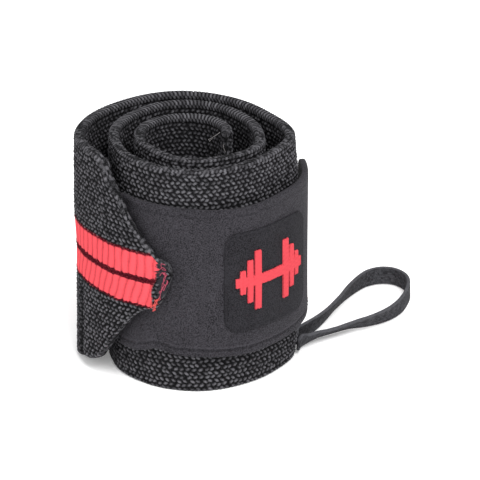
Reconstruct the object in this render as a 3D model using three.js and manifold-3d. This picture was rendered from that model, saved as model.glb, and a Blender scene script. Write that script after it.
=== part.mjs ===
// A wrist wrap: a woven elastic band rolled into a loose coil and stood on its edge.
// Its pointed end lies outside, a smooth strap closes it, and a thumb loop lies beside it.
// Millimetres, +Z up. The roll's own axis is the vertical through the table's origin.
import * as THREE from 'three';
import Module from 'manifold-3d';

const wasm = await Module();
wasm.setup();

// Driving sizes of the band
const BAND_WIDTH = 76.2;
const BAND_THICKNESS = 3.2;
const BAND_EDGE = 0.8;
const ROLL_RADIUS = 36;
const RAW_END_SWELL = 0.5;
const RAW_END_LENGTH = 20;
const PRESSED_BAND = 2.2;
const PRESSED_FLAP = 1.2;
const FLAP_THICKNESS = 2.6;
const FLAP_JOIN = 0.25;
const FLAP_SET_BACK = 1.2;

// Driving sizes of the strap, its patch and its emblem
const STRAP_WIDTH = 51;
const STRAP_THICKNESS = 2;
const STRAP_EDGE = 0.4;
const STRAP_FOOT = 13.2;
const STRAP_CORNER = 1.2;
const PATCH_LENGTH = 36;
const PATCH_HEIGHT = 34;
const PATCH_THICKNESS = 0.6;
const PATCH_CORNER = 5;
const EMBLEM_LENGTH = 29;
const EMBLEM_HEIGHT = 20;
const EMBLEM_THICKNESS = 0.5;

// Driving sizes of the thumb loop
const LOOP_TAPE = 6.2;
const LOOP_THICKNESS = 1.2;
const LOOP_REACH = 62;
const LOOP_SPREAD = 23.4;
const LOOP_HEADING = 52;
const LOOP_TURN = 719;
const LOOP_STAND = 3.1;

// Gaps that keep neighbouring pieces apart
const CLEARANCE = 0.3;
const SEAT_CLEARANCE = 0.15;
const FLOOR_CLEARANCE = 0.15;

// Where the outer turn is drawn in, just before the layers stack up under the point
const TUCK_SHARE = 0.965;

// Turn angles in degrees, counted from the raw inner end, counter-clockwise from above
const FULL_TURN = 360;
const TUCK_TURN = 2 * FULL_TURN + 178;
const STACK_TURN = 2 * FULL_TURN + 212;
const FOLD_TURN = 2 * FULL_TURN + 211.5;
const LOWER_FOLD_TURN = 2 * FULL_TURN + 208;
const UPPER_FLAP_SHORT = 14;
const LOWER_FLAP_SHORT = 18;
const TIP_TURN = 2 * FULL_TURN + 263;
const FLAP_LAG = 4;
const STACK_BEGIN = 4;
const STACK_LENGTH = 22;
const PRESS_TURN = 2 * FULL_TURN + 205;
const BAND_STEP = 4.5;
const STRAP_STEP = 3;

// The coil: outer face of the band at each turn angle, as a share of the roll's radius
const COIL = [
  { turn: 0, reach: 0.417 },
  { turn: 45, reach: 0.456 },
  { turn: 90, reach: 0.464 },
  { turn: 150, reach: 0.456 },
  { turn: 200, reach: 0.472 },
  { turn: 239, reach: 0.542 },
  { turn: 268, reach: 0.667 },
  { turn: 300, reach: 0.711 },
  { turn: 335, reach: 0.75 },
  { turn: 365, reach: 0.7 },
  { turn: 400, reach: 0.706 },
  { turn: 434, reach: 0.778 },
  { turn: 465, reach: 0.778 },
  { turn: 492, reach: 0.711 },
  { turn: 525, reach: 0.689 },
  { turn: 560, reach: 0.7 },
  { turn: 577, reach: 0.75 },
  { turn: 598, reach: 0.815 },
  { turn: 618, reach: 0.9 },
  { turn: 640, reach: 0.958 },
  { turn: 668, reach: 0.941 },
  { turn: 692, reach: 0.94 },
  { turn: 718, reach: 0.984 },
  { turn: 752, reach: 0.908 },
  { turn: 785, reach: 0.955 },
  { turn: 813, reach: 1.008 },
  { turn: 850, reach: 0.968 },
  { turn: 880, reach: 0.978 },
  { turn: 905, reach: 1.003 },
];

// The pointed end's two fold lines: height as a share of the band's width
const UPPER_FOLD = [
  { turn: 931.5, height: 1 },
  { turn: 936.5, height: 0.979 },
  { turn: 941.5, height: 0.928 },
  { turn: 946.5, height: 0.892 },
  { turn: 952.5, height: 0.847 },
  { turn: 957.5, height: 0.78 },
  { turn: 963, height: 0.73 },
  { turn: 968, height: 0.688 },
  { turn: 973, height: 0.642 },
  { turn: 977.5, height: 0.611 },
  { turn: 981, height: 0.605 },
  { turn: 983, height: 0.575 },
];
const LOWER_FOLD = [
  { turn: 898, height: 0 },
  { turn: 910, height: 0.018 },
  { turn: 918, height: 0.037 },
  { turn: 927, height: 0.05 },
  { turn: 935, height: 0.081 },
  { turn: 941, height: 0.133 },
  { turn: 948.5, height: 0.2 },
  { turn: 956, height: 0.275 },
  { turn: 964, height: 0.345 },
  { turn: 970, height: 0.38 },
  { turn: 975, height: 0.39 },
  { turn: 979, height: 0.435 },
  { turn: 981.5, height: 0.49 },
  { turn: 983, height: 0.53 },
];
const UPPER_FLAP_FOOT = 0.61;
const LOWER_FLAP_HEAD = 0.4;

// How far the strap stands off the roll, as a share of the roll's radius
const STAND_OFF = [
  { turn: 586, gap: 0 },
  { turn: 622, gap: 0 },
  { turn: 636, gap: 0.01 },
  { turn: 649, gap: 0.053 },
  { turn: 661, gap: 0.078 },
  { turn: 682, gap: 0.067 },
  { turn: 698, gap: 0.078 },
  { turn: 720, gap: 0.05 },
  { turn: 736, gap: 0.08 },
];
// How far the strap's lower edge rises, as a share of the strap's width
const STRAP_HANG = [
  { turn: 583, rise: -0.031 },
  { turn: 591, rise: -0.03 },
  { turn: 599.5, rise: -0.027 },
  { turn: 606.5, rise: -0.005 },
  { turn: 613, rise: 0.023 },
  { turn: 619.5, rise: 0.015 },
  { turn: 626.5, rise: 0 },
  { turn: 662, rise: 0 },
];
const STRAP_START = 586;
const STRAP_END = 732.5;
const PATCH_TURN = 675;

// The barbell figure: half its height along its length, both as shares of its sizes
const EMBLEM_STEPS = [
  { along: -0.5, half: 0.08 },
  { along: -0.45, half: 0.2 },
  { along: -0.385, half: 0.08 },
  { along: -0.36, half: 0.36 },
  { along: -0.29, half: 0.08 },
  { along: -0.265, half: 0.5 },
  { along: -0.18, half: 0.08 },
  { along: 0.18, half: 0.5 },
  { along: 0.265, half: 0.08 },
  { along: 0.29, half: 0.36 },
  { along: 0.36, half: 0.08 },
  { along: 0.385, half: 0.2 },
  { along: 0.45, half: 0.08 },
];

// The thumb loop's two sewn ends: height of the tape's middle in tape widths, and its lean in degrees
const LOOP_OUT = [
  { turn: 715.5, height: 0.53, lean: 4 },
  { turn: 719.5, height: 0.53, lean: 14 },
];
const LOOP_BACK = [
  { turn: 728, height: 0.53, lean: -8 },
  { turn: 723.5, height: 0.53, lean: -3 },
];
// Its free part on the floor: shares of its reach and spread
const LOOP_FREE = [
  { along: 0.031, across: 0.067, lean: 36 },
  { along: 0.112, across: 0.07, lean: 45 },
  { along: 0.176, across: 0.055, lean: 53 },
  { along: 0.251, across: 0.004, lean: 54 },
  { along: 0.351, across: -0.071, lean: 50 },
  { along: 0.44, across: -0.201, lean: 37 },
  { along: 0.537, across: -0.272, lean: 24 },
  { along: 0.619, across: -0.275, lean: 14 },
  { along: 0.716, across: -0.221, lean: 5 },
  { along: 0.814, across: -0.11, lean: 2 },
  { along: 0.892, across: 0.008, lean: 0 },
  { along: 0.953, across: 0.15, lean: 0 },
  { along: 0.99, across: 0.32, lean: 0 },
  { along: 0.998, across: 0.494, lean: 0 },
  { along: 0.977, across: 0.621, lean: 0 },
  { along: 0.942, across: 0.692, lean: -2 },
  { along: 0.876, across: 0.735, lean: -6 },
  { along: 0.706, across: 0.665, lean: -16 },
  { along: 0.532, across: 0.527, lean: -26 },
  { along: 0.349, across: 0.37, lean: -21 },
  { along: 0.22, across: 0.294, lean: -14 },
  { along: 0.123, across: 0.271, lean: -12 },
];
const LOOP_STATIONS = 96;
const LOOP_EDGE = 0.3;

// Smooth value of a table's column at a turn angle, held level past both ends
function valueAt(table, column, turn) {
  const last = table.length - 1;
  if (turn <= table[0].turn) return table[0][column];
  if (turn >= table[last].turn) return table[last][column];
  const i = table.findIndex((row) => row.turn > turn) - 1;
  const slopeAt = (k) => {
    const before = table[Math.max(k - 1, 0)];
    const after = table[Math.min(k + 1, last)];
    return (after[column] - before[column]) / (after.turn - before.turn);
  };
  const span = table[i + 1].turn - table[i].turn;
  const t = (turn - table[i].turn) / span;
  const start = (1 + 2 * t) * (1 - t) ** 2 * table[i][column] + t * (1 - t) ** 2 * span * slopeAt(i);
  const end = t ** 2 * (3 - 2 * t) * table[i + 1][column] - t ** 2 * (1 - t) * span * slopeAt(i + 1);
  return start + end;
}

// Share of the way from one turn angle to another, eased at both ends
function easedShare(turn, from, to) {
  return THREE.MathUtils.smoothstep(turn, from, to);
}

// Band thickness at a turn angle: swollen at the raw end, pressed flat at the sewn tip
function bandThickness(turn) {
  const swell = RAW_END_SWELL * (1 - easedShare(turn, 0, RAW_END_LENGTH));
  const pressed = THREE.MathUtils.lerp(BAND_THICKNESS, PRESSED_BAND, easedShare(turn, PRESS_TURN, TIP_TURN));
  return pressed + swell;
}

// Thickness of the corners folded behind the point
function flapThickness(turn) {
  return THREE.MathUtils.lerp(FLAP_THICKNESS, PRESSED_FLAP, easedShare(turn, FOLD_TURN, TIP_TURN));
}

// Outer face of the closure strap, which rests on the outer turn and stands off at the right
function strapFace(turn) {
  const standOff = valueAt(STAND_OFF, 'gap', turn) * ROLL_RADIUS;
  return valueAt(COIL, 'reach', turn) * ROLL_RADIUS + CLEARANCE + STRAP_THICKNESS + standOff;
}

// Outer face of the band: the coil's table, and past it the layers stacked under the point
function bandFace(turn) {
  const coil = valueAt(COIL, 'reach', turn) * ROLL_RADIUS;
  const stack = strapFace(turn - FULL_TURN) + CLEARANCE + flapThickness(turn) - FLAP_JOIN + bandThickness(turn);
  const tuck = ROLL_RADIUS * TUCK_SHARE;
  const led = THREE.MathUtils.lerp(coil, tuck, easedShare(turn, TUCK_TURN, STACK_TURN));
  return THREE.MathUtils.lerp(led, stack, easedShare(turn, STACK_TURN - STACK_BEGIN, STACK_TURN + STACK_LENGTH));
}

// Plan point of a face at a turn angle, and the unit normal pointing out of the roll
function pointOn(face, turn) {
  const angle = THREE.MathUtils.degToRad(turn);
  return new THREE.Vector2(Math.cos(angle), Math.sin(angle)).multiplyScalar(face(turn));
}
function normalOn(face, turn) {
  const ahead = pointOn(face, turn + 0.5).sub(pointOn(face, turn - 0.5)).normalize();
  return new THREE.Vector2(ahead.y, -ahead.x);
}

// Length of a face between two turn angles
function faceLength(face, from, to) {
  const steps = 60;
  let length = 0;
  for (let i = 0; i < steps; i += 1) {
    const here = from + ((to - from) * i) / steps;
    length += pointOn(face, here).distanceTo(pointOn(face, here + (to - from) / steps));
  }
  return length;
}

// Closed solid through rings of equal count, with flat caps on the first and the last
function solidFromRings(rings) {
  const count = rings[0].length;
  const positions = rings.flat().flatMap((p) => [p.x, p.y, p.z]);
  const index = [];
  for (let i = 0; i + 1 < rings.length; i += 1) {
    for (let k = 0; k < count; k += 1) {
      const a = i * count + k;
      const b = i * count + ((k + 1) % count);
      index.push(a, b, a + count, b, b + count, a + count);
    }
  }
  const last = (rings.length - 1) * count;
  for (let k = 1; k + 1 < count; k += 1) {
    index.push(0, k + 1, k);
    index.push(last, last + k, last + k + 1);
  }
  const geometry = new THREE.BufferGeometry();
  geometry.setAttribute('position', new THREE.Float32BufferAttribute(positions, 3));
  geometry.setIndex(index);
  return geometry;
}

// Eight-sided section of a flat band: inset from its outer face, and height, with its edges cut off
function bandSection(thickness, foot, head, edge) {
  const cut = Math.min(edge, thickness * 0.3, (head - foot) * 0.3);
  return [
    [0, foot + cut],
    [cut, foot],
    [thickness - cut, foot],
    [thickness, foot + cut],
    [thickness, head - cut],
    [thickness - cut, head],
    [cut, head],
    [0, head - cut],
  ];
}

// A standing wall that follows a face of the roll through the given turn angles
function wall({ face, turns, thickness, foot, head, edge, inset = () => 0 }) {
  const rings = turns.map((turn) => {
    const outer = pointOn(face, turn);
    const normal = normalOn(face, turn);
    return bandSection(thickness(turn), foot(turn), head(turn), edge).map(([depth, z]) => {
      const p = outer.clone().addScaledVector(normal, -depth - inset(turn));
      return new THREE.Vector3(p.x, p.y, z);
    });
  });
  return solidFromRings(rings);
}

// Evenly spaced turn angles
function turnsBetween(from, to, step) {
  const count = Math.ceil((to - from) / step);
  return Array.from({ length: count + 1 }, (_, i) => from + ((to - from) * i) / count);
}

// Turn angles that crowd at both ends, for round corners
function turnsWithCorners(from, to, step, corner) {
  const shares = [0, 0.1, 0.3, 0.6];
  const first = shares.map((share) => from + corner * share);
  const last = shares.map((share) => to - corner * share).reverse();
  return [...first, ...turnsBetween(from + corner, to - corner, step), ...last];
}

// How far a round corner draws an edge in at a distance from the piece's end
function cornerInset(distance, radius) {
  const short = Math.max(radius - Math.max(distance, 0), 0);
  return radius - Math.sqrt(Math.max(radius ** 2 - short ** 2, 0));
}

// Joins closed solids into one
function joined(...geometries) {
  const solids = geometries.map((geometry) => new wasm.Manifold(new wasm.Mesh({
    numProp: 3,
    vertProperties: new Float32Array(geometry.attributes.position.array),
    triVerts: new Uint32Array(geometry.index.array),
  })));
  const whole = solids.reduce((sum, solid) => sum.add(solid));
  const mesh = whole.getMesh();
  const geometry = new THREE.BufferGeometry();
  geometry.setAttribute('position', new THREE.BufferAttribute(mesh.vertProperties, 3));
  geometry.setIndex(new THREE.BufferAttribute(mesh.triVerts, 1));
  return geometry;
}

function piece(name, geometry, colour, roughness) {
  geometry.computeVertexNormals();
  const material = new THREE.MeshStandardMaterial({ color: colour, roughness, metalness: 0 });
  const mesh = new THREE.Mesh(geometry, material);
  mesh.name = name;
  return mesh;
}

// The elastic band: coil, pointed end and the two corners folded behind the point
function elasticBand() {
  const head = (turn) => valueAt(UPPER_FOLD, 'height', turn) * BAND_WIDTH;
  const foot = (turn) => valueAt(LOWER_FOLD, 'height', turn) * BAND_WIDTH;
  const coil = wall({
    face: bandFace,
    turns: turnsBetween(0, TIP_TURN, BAND_STEP),
    thickness: bandThickness,
    foot,
    head,
    edge: BAND_EDGE,
  });
  const behind = (turn) => bandThickness(turn) - FLAP_JOIN;
  const upperFlap = wall({
    face: bandFace,
    turns: turnsBetween(FOLD_TURN, TIP_TURN - UPPER_FLAP_SHORT, BAND_STEP),
    thickness: flapThickness,
    foot: () => UPPER_FLAP_FOOT * BAND_WIDTH,
    head: (turn) => head(turn + FLAP_LAG) - FLAP_SET_BACK,
    edge: BAND_EDGE,
    inset: behind,
  });
  const lowerFlap = wall({
    face: bandFace,
    turns: turnsBetween(LOWER_FOLD_TURN + FLAP_LAG, TIP_TURN - LOWER_FLAP_SHORT, BAND_STEP),
    thickness: flapThickness,
    foot: (turn) => foot(turn + FLAP_LAG) + FLAP_SET_BACK,
    head: () => LOWER_FLAP_HEAD * BAND_WIDTH,
    edge: BAND_EDGE,
    inset: behind,
  });
  return piece('elastic_band', joined(coil, upperFlap, lowerFlap), 0x3b3b40, 0.95);
}

// The closure strap, from behind the point to its free end
function closureStrap() {
  const length = (turn) => faceLength(strapFace, turn, STRAP_END);
  const hang = (turn) => valueAt(STRAP_HANG, 'rise', turn) * STRAP_WIDTH;
  const corner = THREE.MathUtils.radToDeg(STRAP_CORNER / strapFace(STRAP_END));
  const cornerTurns = turnsWithCorners(STRAP_END - 2 * corner, STRAP_END, STRAP_STEP, corner).slice(4);
  const geometry = wall({
    face: strapFace,
    turns: [...turnsBetween(STRAP_START, STRAP_END - 2 * corner, STRAP_STEP), ...cornerTurns.slice(1)],
    thickness: () => STRAP_THICKNESS,
    foot: (turn) => STRAP_FOOT + hang(turn) + cornerInset(length(turn), STRAP_CORNER),
    head: (turn) => STRAP_FOOT + STRAP_WIDTH - cornerInset(length(turn), STRAP_CORNER),
    edge: STRAP_EDGE,
  });
  return piece('closure_strap', geometry, 0x444246, 0.8);
}

const PATCH_MIDDLE = STRAP_FOOT + STRAP_WIDTH / 2;
const patchFace = (turn) => strapFace(turn) + SEAT_CLEARANCE + PATCH_THICKNESS;
const emblemFace = (turn) => patchFace(turn) + SEAT_CLEARANCE + EMBLEM_THICKNESS;

// Degrees of turn that a length takes up on the patch
function turnOf(length) {
  return THREE.MathUtils.radToDeg(length / patchFace(PATCH_TURN));
}

// The patch with its round corners
function strapPatch() {
  const half = turnOf(PATCH_LENGTH) / 2;
  const fromEnd = (turn) => ((half - Math.abs(turn - PATCH_TURN)) / turnOf(1));
  const draw = (turn) => cornerInset(fromEnd(turn), PATCH_CORNER);
  const geometry = wall({
    face: patchFace,
    turns: turnsWithCorners(PATCH_TURN - half, PATCH_TURN + half, STRAP_STEP, turnOf(PATCH_CORNER)),
    thickness: () => PATCH_THICKNESS,
    foot: (turn) => PATCH_MIDDLE - PATCH_HEIGHT / 2 + draw(turn),
    head: (turn) => PATCH_MIDDLE + PATCH_HEIGHT / 2 - draw(turn),
    edge: PATCH_THICKNESS / 4,
  });
  return piece('strap_patch', geometry, 0x343237, 0.75);
}

// The barbell figure on the patch
function patchEmblem() {
  const step = turnOf(0.12);
  const turns = [];
  const halves = new Map();
  EMBLEM_STEPS.forEach(({ along, half }, i) => {
    const from = PATCH_TURN + turnOf(along * EMBLEM_LENGTH);
    const next = EMBLEM_STEPS[i + 1];
    const to = PATCH_TURN + turnOf((next ? next.along : 0.5) * EMBLEM_LENGTH) - step;
    turnsBetween(from, to, STRAP_STEP).forEach((turn) => {
      turns.push(turn);
      halves.set(turn, half * EMBLEM_HEIGHT);
    });
  });
  const geometry = wall({
    face: emblemFace,
    turns,
    thickness: () => EMBLEM_THICKNESS,
    foot: (turn) => PATCH_MIDDLE - halves.get(turn),
    head: (turn) => PATCH_MIDDLE + halves.get(turn),
    edge: EMBLEM_THICKNESS / 4,
  });
  return piece('patch_emblem', geometry, 0xf45a64, 0.7);
}

// Where the thumb loop's tape runs: its middle line, and its lean at each row
function loopRoute() {
  const tucked = ({ turn, height, lean }) => {
    const slant = Math.abs(Math.sin(THREE.MathUtils.degToRad(lean)));
    const room = CLEARANCE + LOOP_THICKNESS / 2 + (LOOP_TAPE / 2) * slant;
    const p = pointOn((t) => bandFace(t) + room, turn);
    return { point: new THREE.Vector3(p.x, p.y, height * LOOP_TAPE), lean };
  };
  const out = LOOP_OUT.map(tucked);
  const back = LOOP_BACK.map(tucked);
  const start = pointOn((t) => bandFace(t) + LOOP_STAND, LOOP_TURN);
  const heading = THREE.MathUtils.degToRad(LOOP_HEADING);
  const free = LOOP_FREE.map(({ along, across, lean }) => {
    const u = along * LOOP_REACH;
    const v = across * LOOP_SPREAD;
    const tilt = THREE.MathUtils.degToRad(Math.abs(lean));
    const rest = FLOOR_CLEARANCE + (LOOP_TAPE / 2) * Math.cos(tilt) + (LOOP_THICKNESS / 2) * Math.sin(tilt);
    const x = start.x + u * Math.cos(heading) - v * Math.sin(heading);
    const y = start.y + u * Math.sin(heading) + v * Math.cos(heading);
    return { point: new THREE.Vector3(x, y, rest), lean };
  });
  return [...out, ...free, ...back];
}

// The thumb loop: a flat tape carried along its route, leaning as the route says
function thumbLoop() {
  const route = loopRoute();
  const curve = new THREE.CatmullRomCurve3(route.map((row) => row.point), false, 'centripetal');
  const rings = [];
  for (let i = 0; i <= LOOP_STATIONS; i += 1) {
    const t = i / LOOP_STATIONS;
    const place = t * (route.length - 1);
    const row = Math.min(Math.floor(place), route.length - 2);
    const lean = THREE.MathUtils.lerp(route[row].lean, route[row + 1].lean, place - row);
    const tilt = THREE.MathUtils.degToRad(lean);
    const ahead = curve.getTangent(t);
    const side = new THREE.Vector3(ahead.y, -ahead.x, 0).normalize();
    const upright = new THREE.Vector3().crossVectors(side, ahead).normalize();
    const across = upright.clone().multiplyScalar(Math.cos(tilt)).addScaledVector(side, Math.sin(tilt));
    const out = side.clone().multiplyScalar(Math.cos(tilt)).addScaledVector(upright, -Math.sin(tilt));
    const centre = curve.getPoint(t);
    const section = bandSection(LOOP_THICKNESS, -LOOP_TAPE / 2, LOOP_TAPE / 2, LOOP_EDGE);
    rings.push(section.map(([depth, width]) => centre.clone()
      .addScaledVector(out, LOOP_THICKNESS / 2 - depth)
      .addScaledVector(across, width)));
  }
  return piece('thumb_loop', solidFromRings(rings), 0x38383c, 0.85);
}

const wrap = new THREE.Group();
wrap.add(elasticBand(), closureStrap(), strapPatch(), patchEmblem(), thumbLoop());

// The origin is the middle of the whole wrap's box, on the surface that it stands on
const box = new THREE.Box3().setFromObject(wrap);
wrap.position.set(-(box.min.x + box.max.x) / 2, -(box.min.y + box.max.y) / 2, -box.min.z);

export default wrap;
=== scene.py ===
# %% [markdown]
# A wrist wrap, rolled up and stood on its edge
# This file dresses a wrist wrap in Blender, piece by piece. The solids that carry it are loaded as a fixed
# frame, and every new piece is a surface worked out with numpy in that same frame, in metres, with +Z up.

# %% Load the frame
import math

import bpy
import numpy as np
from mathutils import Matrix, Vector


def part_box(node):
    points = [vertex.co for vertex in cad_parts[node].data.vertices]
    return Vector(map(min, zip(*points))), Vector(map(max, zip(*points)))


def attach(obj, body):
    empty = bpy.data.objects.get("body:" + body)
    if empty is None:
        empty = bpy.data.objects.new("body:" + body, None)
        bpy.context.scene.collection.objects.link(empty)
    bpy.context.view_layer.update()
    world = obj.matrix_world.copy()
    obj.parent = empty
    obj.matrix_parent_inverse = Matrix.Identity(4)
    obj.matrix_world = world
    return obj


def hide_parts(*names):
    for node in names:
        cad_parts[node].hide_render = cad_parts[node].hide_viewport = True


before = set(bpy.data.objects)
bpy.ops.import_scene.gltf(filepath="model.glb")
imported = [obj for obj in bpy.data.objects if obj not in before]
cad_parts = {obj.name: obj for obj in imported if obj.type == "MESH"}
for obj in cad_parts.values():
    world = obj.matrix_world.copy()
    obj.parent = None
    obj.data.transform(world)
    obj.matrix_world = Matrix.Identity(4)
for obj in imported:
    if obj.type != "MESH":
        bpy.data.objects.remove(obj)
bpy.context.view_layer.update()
MM = 0.001
print("nodes:", ", ".join(sorted(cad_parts)))

# %% [markdown]
# The roll is a spiral. How far the band's outer face lies from the roll's axis is a short table against the
# turn angle, counted in degrees from the raw inner end. A spline through many drawn points would do as
# well, but a table of radii can't cross itself, and each layer that lies on the band is worked out from it.

# %% The roll's table and sizes
BAND_WIDTH = 76.2 * MM
BAND_THICKNESS = 3.2 * MM
ROLL_RADIUS = 36 * MM
RAW_END_SWELL = 0.5 * MM
RAW_END_LENGTH = 20
PRESSED_BAND = 2.2 * MM
PRESSED_FLAP = 1.2 * MM
FLAP_THICKNESS = 2.6 * MM
FLAP_JOIN = 0.25 * MM
FLAP_SET_BACK = 1.2 * MM
CLEARANCE = 0.3 * MM
STRAP_THICKNESS = 2 * MM
STRAP_WIDTH = 51 * MM
STRAP_FOOT = 13.2 * MM
TUCK_SHARE = 0.965
TUCK_TURN = 898
STACK_TURN = 932
STACK_BEGIN = 4
STACK_LENGTH = 22
FOLD_TURN = 931.5
LOWER_FOLD_TURN = 928
FLAP_LAG = 4
PRESS_TURN = 925
TIP_TURN = 983
STRAP_START = 586
STRAP_END = 732.5
COIL = np.array([
    (0, .417), (45, .456), (90, .464), (150, .456), (200, .472), (239, .542), (268, .667), (300, .711),
    (335, .75), (365, .7), (400, .706), (434, .778), (465, .778), (492, .711), (525, .689), (560, .7),
    (577, .75), (598, .815), (618, .9), (640, .958), (668, .941), (692, .94), (718, .984), (752, .908),
    (785, .955), (813, 1.008), (850, .968), (880, .978), (905, 1.003)])
UPPER_FOLD = np.array([
    (931.5, 1), (936.5, .979), (941.5, .928), (946.5, .892), (952.5, .847), (957.5, .78), (963, .73),
    (968, .688), (973, .642), (977.5, .611), (981, .605), (983, .575)])
LOWER_FOLD = np.array([
    (898, 0), (910, .018), (918, .037), (927, .05), (935, .081), (941, .133), (948.5, .2), (956, .275),
    (964, .345), (970, .38), (975, .39), (979, .435), (981.5, .49), (983, .53)])
STAND_OFF = np.array([
    (586, 0), (622, 0), (636, .01), (649, .053), (661, .078), (682, .067), (698, .078), (720, .05),
    (736, .08)])
STRAP_HANG = np.array([
    (583, -.031), (591, -.03), (599.5, -.027), (606.5, -.005), (613, .023), (619.5, .015), (626.5, 0),
    (684, 0), (700, .022), (719, .047), (732.5, .07)])


def along_table(table, turn):
    """A smooth curve through a table's rows: between two rows it is the cubic whose slope at each row is
    that of the line through the row's two neighbours. Past the first and last rows it stays level."""
    turn = np.asarray(turn, float)
    x, y = table[:, 0], table[:, 1]
    before, after = np.maximum(np.arange(len(x)) - 1, 0), np.minimum(np.arange(len(x)) + 1, len(x) - 1)
    slope = (y[after] - y[before]) / (x[after] - x[before])
    i = np.clip(np.searchsorted(x, turn, side="right") - 1, 0, len(x) - 2)
    span = x[i + 1] - x[i]
    t = np.clip((turn - x[i]) / span, 0, 1)
    start = (1 + 2 * t) * (1 - t) ** 2 * y[i] + t * (1 - t) ** 2 * span * slope[i]
    end = t ** 2 * (3 - 2 * t) * y[i + 1] - t ** 2 * (1 - t) * span * slope[i + 1]
    return start + end


def ease(value, low, high):
    """0 at low, 1 at high, and 3t^2 - 2t^3 between them. Low may be the larger one."""
    t = np.clip((np.asarray(value, float) - low) / (high - low), 0, 1)
    return t * t * (3 - 2 * t)


def mix(a, b, share):
    """a, moved towards b by a share."""
    return a + (b - a) * share


def band_thickness(turn):
    """The woven thickness, a little more at the raw end, and pressed flat towards the sewn tip."""
    swell = RAW_END_SWELL * (1 - ease(turn, 0, RAW_END_LENGTH))
    return mix(BAND_THICKNESS, PRESSED_BAND, ease(turn, PRESS_TURN, TIP_TURN)) + swell


def flap_thickness(turn):
    """The corners folded behind the point thin out towards the tip."""
    return mix(FLAP_THICKNESS, PRESSED_FLAP, ease(turn, FOLD_TURN, TIP_TURN))


def strap_face(turn):
    """Outer face of the strap: the outer turn, a clearance, its thickness and how far it stands off."""
    rests_at = along_table(COIL, turn) * ROLL_RADIUS + CLEARANCE + STRAP_THICKNESS
    return rests_at + along_table(STAND_OFF, turn) * ROLL_RADIUS


def band_face(turn):
    """Outer face of the band: the coil's table, and past it the layers that are stacked under the point."""
    turn = np.asarray(turn, float)
    coil = along_table(COIL, turn) * ROLL_RADIUS
    stack = strap_face(turn - 360) + CLEARANCE + flap_thickness(turn) - FLAP_JOIN + band_thickness(turn)
    led = mix(coil, ROLL_RADIUS * TUCK_SHARE, ease(turn, TUCK_TURN, STACK_TURN))
    return mix(led, stack, ease(turn, STACK_TURN - STACK_BEGIN, STACK_TURN + STACK_LENGTH))


def plan(face, turn):
    """The plan point of a face at each turn angle: its distance from the axis, in that direction."""
    angle = np.radians(turn)
    return np.stack([np.cos(angle), np.sin(angle)], -1) * face(turn)[..., None]


def outward(face, turn):
    """The unit normal of a face in plan: the direction of travel, turned a quarter turn to the right."""
    ahead = plan(face, turn + 0.5) - plan(face, turn - 0.5)
    ahead /= np.linalg.norm(ahead, axis=-1, keepdims=True)
    return np.stack([ahead[..., 1], -ahead[..., 0]], -1)


def travelled(face, turns):
    """Length of cloth from the first turn angle to each one, by adding up the chords."""
    steps = np.linalg.norm(np.diff(plan(face, turns), axis=0), axis=-1)
    return np.concatenate([[0], np.cumsum(steps)])


fine_turns = np.linspace(0, TIP_TURN, 4000)
fine_length = travelled(band_face, fine_turns)
band_low = plan(band_face, fine_turns).min(0)
band_high = plan(band_face, fine_turns).max(0)
box_low, box_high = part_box("elastic_band")
SHIFT = np.array([(box_low[0] + box_high[0] - band_low[0] - band_high[0]) / 2,
                  (box_low[1] + box_high[1] - band_low[1] - band_high[1]) / 2, 0])
print(f"band length {fine_length[-1] / MM:.0f} mm, the roll's axis is at {np.round(SHIFT / MM, 2)} mm")

# %% [markdown]
# The camera of the photograph stands far off: the roll's vertical edges stay parallel, so a long lens is
# right. It looks down by the angle at which the rim's circle is squeezed to its height in the picture, and
# 3.1 pixels of the 480 are one millimetre.

# %% Camera
PIXELS = 480
PIXELS_PER_MM = 3.1
LOOK_DOWN = math.radians(22.5)
DISTANCE = 6.0
SENSOR = 36
PICTURE_MIDDLE = np.array([17.58, 0, 38.84]) * MM

camera_data = bpy.data.cameras.new("photo_camera")
camera_data.sensor_width = SENSOR
camera_data.lens = SENSOR * DISTANCE / (PIXELS / PIXELS_PER_MM * MM)
camera_data.clip_end = 20
camera = bpy.data.objects.new("photo_camera", camera_data)
camera.location = SHIFT + PICTURE_MIDDLE + DISTANCE * np.array([0, -math.cos(LOOK_DOWN), math.sin(LOOK_DOWN)])
camera.rotation_euler = (math.pi / 2 - LOOK_DOWN, 0, 0)
bpy.context.scene.collection.objects.link(camera)
bpy.context.scene.camera = camera
print(f"lens {camera_data.lens:.0f} mm at {DISTANCE} m")

# %% [markdown]
# Every flat piece here is a closed loop of points, carried along the roll. The loop runs up the outer face,
# over the rounded top edge, down the inner face and under the bottom edge. One grid of points then holds
# the whole piece, and the weave is a small push of each point along its own normal.

# %% Loops carried along a face
EDGE_ROWS = 6
EDGE_SHARE = 0.48
CORNER_SHARE = 0.3


def half_section(shares, edge_steps, t, lo, hi, r):
    """Half a loop: up one face, round a quarter circle of radius r, across the top edge, and round the next
    quarter circle to the other face."""
    a = np.linspace(0, math.pi / 2, edge_steps + 2)[None, 1:-1]
    one = np.ones_like(t)
    up, level = one * shares, one * np.linspace(0, 1, EDGE_ROWS)
    depth = np.concatenate([0 * up, r * (1 - np.cos(a)), r + (t - 2 * r) * level, t - r * (1 - np.sin(a))], 1)
    height = np.concatenate([lo + r + (hi - lo - 2 * r) * up, hi - r * (1 - np.sin(a)), hi + 0 * level,
                             hi - r * (1 - np.cos(a))], 1)
    out = np.concatenate([1 + 0 * up, one * np.cos(a), 0 * level, -one * np.sin(a)], 1)
    rise = np.concatenate([0 * up, one * np.sin(a), 1 + 0 * level, one * np.cos(a)], 1)
    return depth, height, out, rise


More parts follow.
